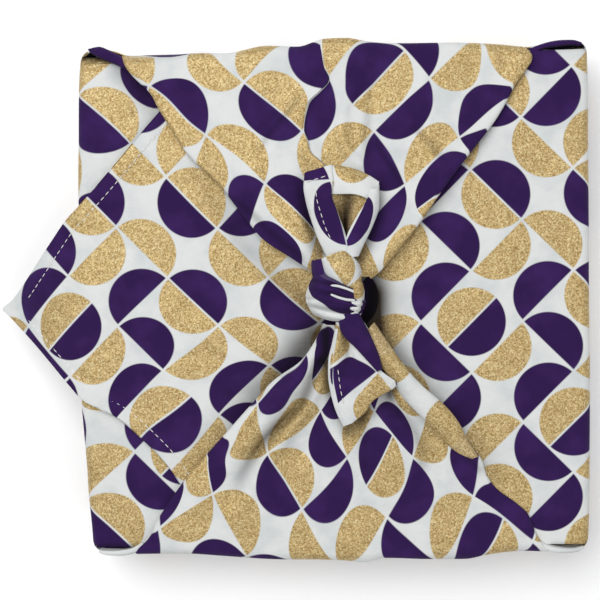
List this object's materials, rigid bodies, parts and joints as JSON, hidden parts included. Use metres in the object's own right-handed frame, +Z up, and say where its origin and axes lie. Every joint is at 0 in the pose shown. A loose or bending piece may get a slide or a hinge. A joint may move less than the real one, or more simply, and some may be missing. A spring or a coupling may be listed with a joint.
{
  "type": "furoshiki wrap tied around a flat gift box",
  "caption": "Flat square gift box wrapped in one hemmed cotton cloth, tied on top in a square knot with two short tails, one loose corner hanging over an edge.",
  "frame": {"origin": "middle of the flat underside of the wrapped box, which rests on the surface", "axes": "+Z up through the knot, +Y towards the upper tail, -X towards the edge that the loose corner hangs over"},
  "size_m": [0.2668, 0.2319, 0.0608],
  "materials": {
    "printed_cotton": "matt plain-weave cotton, printed with purple and gold glitter half discs on white",
    "gift_box_board": "uncoated brown board, hidden inside the cloth"
  },
  "bodies": {
    "root": {"furoshiki": "printed_cotton", "gift_box": "gift_box_board"}
  },
  "joints": []
}
